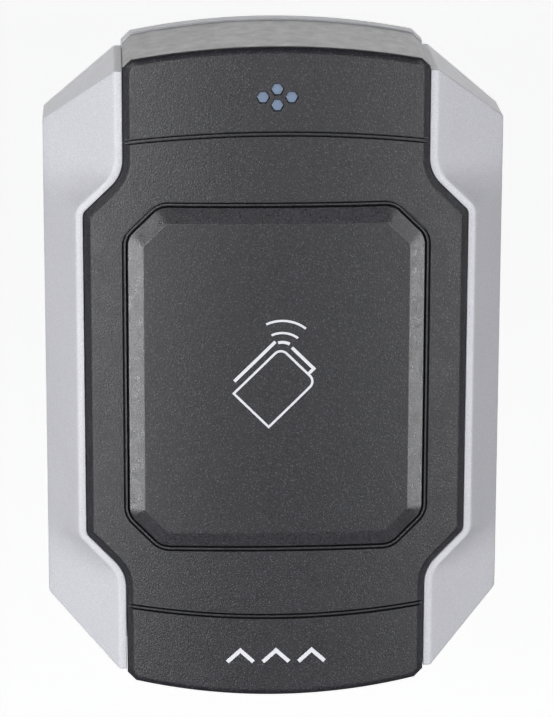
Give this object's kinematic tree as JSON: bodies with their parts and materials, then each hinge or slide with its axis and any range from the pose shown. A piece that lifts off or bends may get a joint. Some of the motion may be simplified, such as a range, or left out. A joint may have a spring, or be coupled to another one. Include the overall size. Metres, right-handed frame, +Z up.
{
  "type": "ticket validator",
  "caption": "Wall-mounted contactless ticket and card reader: dark arched front with a raised pad and lamp cluster, between silver sloping side wings, on a steel wall plate.",
  "frame": {"origin": "on the wall plane, at the middle of the mounting plate's screw pattern and of the housing's outline", "axes": "+Z up along the long side, +X to the right seen from the front, +Y into the wall; the front faces -Y"},
  "size_m": [0.102, 0.0361, 0.15],
  "materials": {
    "dark_plastic": "fine spark-eroded grain, dark grey",
    "pad_plastic": "fine grain, polished slopes, dark grey",
    "silver_plastic": "silver metallic paint on moulded plastic, fine grain",
    "lens_plastic": "light blue frosted lens",
    "white_print": "pad-printed ink, off-white",
    "black_plastic": "moulded black plastic",
    "light_plastic": "natural nylon",
    "red_plastic": "moulded red plastic",
    "fuse_green": "green coated",
    "adhesive": "double-sided tape",
    "circuit_board": "green solder resist",
    "copper_track": "bare copper with a clear coat",
    "ferrite": "dark sintered sheet",
    "tin_plate": "tin-plated metal cans",
    "ceramic": "fired ceramic",
    "lamp_yellow": "phosphor-filled lamp",
    "screw_steel": "zinc-plated steel",
    "plate_steel": "galvanised sheet steel",
    "insert_brass": "turned and knurled brass",
    "gasket_rubber": "soft black rubber",
    "label_film": "blank polyester label"
  },
  "bodies": {
    "wall_plate": {"mounting_plate": "plate_steel", "plate_hooks": "plate_steel", "lock_bracket": "plate_steel"},
    "reader": {"silver_frame": "silver_plastic", "front_cover": "dark_plastic", "card_pad": "pad_plastic", "pad_adhesive": "adhesive", "card_symbol": "white_print", "front_mark": "white_print", "light_guide": "lens_plastic", "led_shroud": "black_plastic", "status_leds": "lamp_yellow", "antenna_board": "circuit_board", "antenna_coil": "copper_track", "ferrite_sheet": "ferrite", "antenna_screws": "screw_steel", "antenna_header": "black_plastic", "main_board": "circuit_board", "main_board_screws": "screw_steel", "controller_chip": "black_plastic", "radio_chip": "black_plastic", "bus_driver_chip": "black_plastic", "crystal": "tin_plate", "voltage_regulator": "black_plastic", "power_inductor": "ferrite", "reservoir_capacitors": "tin_plate", "surge_fuses": "fuse_green", "chip_parts": "ceramic", "buzzer": "black_plastic", "cable_header": "light_plastic", "header_pins": "insert_brass", "dip_switch_body": "red_plastic", "tamper_switch_body": "black_plastic", "tamper_spring": "screw_steel", "rear_gasket": "gasket_rubber", "rear_cover": "dark_plastic", "rear_cover_screws": "screw_steel", "thread_inserts": "insert_brass", "cable_grommet": "gasket_rubber", "rating_label": "label_film"},
    "locking_screw": {"lock_screw": "screw_steel"},
    "tamper_rod": {"tamper_plunger": "light_plastic"},
    "slider_1": {"dip_slider_1": "light_plastic"},
    "slider_2": {"dip_slider_2": "light_plastic"},
    "slider_3": {"dip_slider_3": "light_plastic"},
    "slider_4": {"dip_slider_4": "light_plastic"},
    "slider_5": {"dip_slider_5": "light_plastic"},
    "slider_6": {"dip_slider_6": "light_plastic"},
    "slider_7": {"dip_slider_7": "light_plastic"},
    "slider_8": {"dip_slider_8": "light_plastic"}
  },
  "joints": [
    {"name": "lift_off", "type": "slide", "parent": "wall_plate", "child": "reader", "axis": [0, 0, 1], "range_m": [0, 0.006]},
    {"name": "lock_screw_out", "type": "slide", "parent": "reader", "child": "locking_screw", "axis": [0, 0, -1], "range_m": [0, 0.004]},
    {"name": "tamper_press", "type": "slide", "parent": "reader", "child": "tamper_rod", "axis": [0, 1, 0], "range_m": [0, 0.0012], "stiffness_N_per_m": 150, "deforming": ["tamper_spring"]},
    {"name": "dip_1", "type": "slide", "parent": "reader", "child": "slider_1", "axis": [0, 0, 1], "range_m": [0, 0.0016]},
    {"name": "dip_2", "type": "slide", "parent": "reader", "child": "slider_2", "axis": [0, 0, 1], "range_m": [0, 0.0016]},
    {"name": "dip_3", "type": "slide", "parent": "reader", "child": "slider_3", "axis": [0, 0, 1], "range_m": [0, 0.0016]},
    {"name": "dip_4", "type": "slide", "parent": "reader", "child": "slider_4", "axis": [0, 0, 1], "range_m": [0, 0.0016]},
    {"name": "dip_5", "type": "slide", "parent": "reader", "child": "slider_5", "axis": [0, 0, 1], "range_m": [0, 0.0016]},
    {"name": "dip_6", "type": "slide", "parent": "reader", "child": "slider_6", "axis": [0, 0, 1], "range_m": [0, 0.0016]},
    {"name": "dip_7", "type": "slide", "parent": "reader", "child": "slider_7", "axis": [0, 0, 1], "range_m": [0, 0.0016]},
    {"name": "dip_8", "type": "slide", "parent": "reader", "child": "slider_8", "axis": [0, 0, 1], "range_m": [0, 0.0016]}
  ]
}
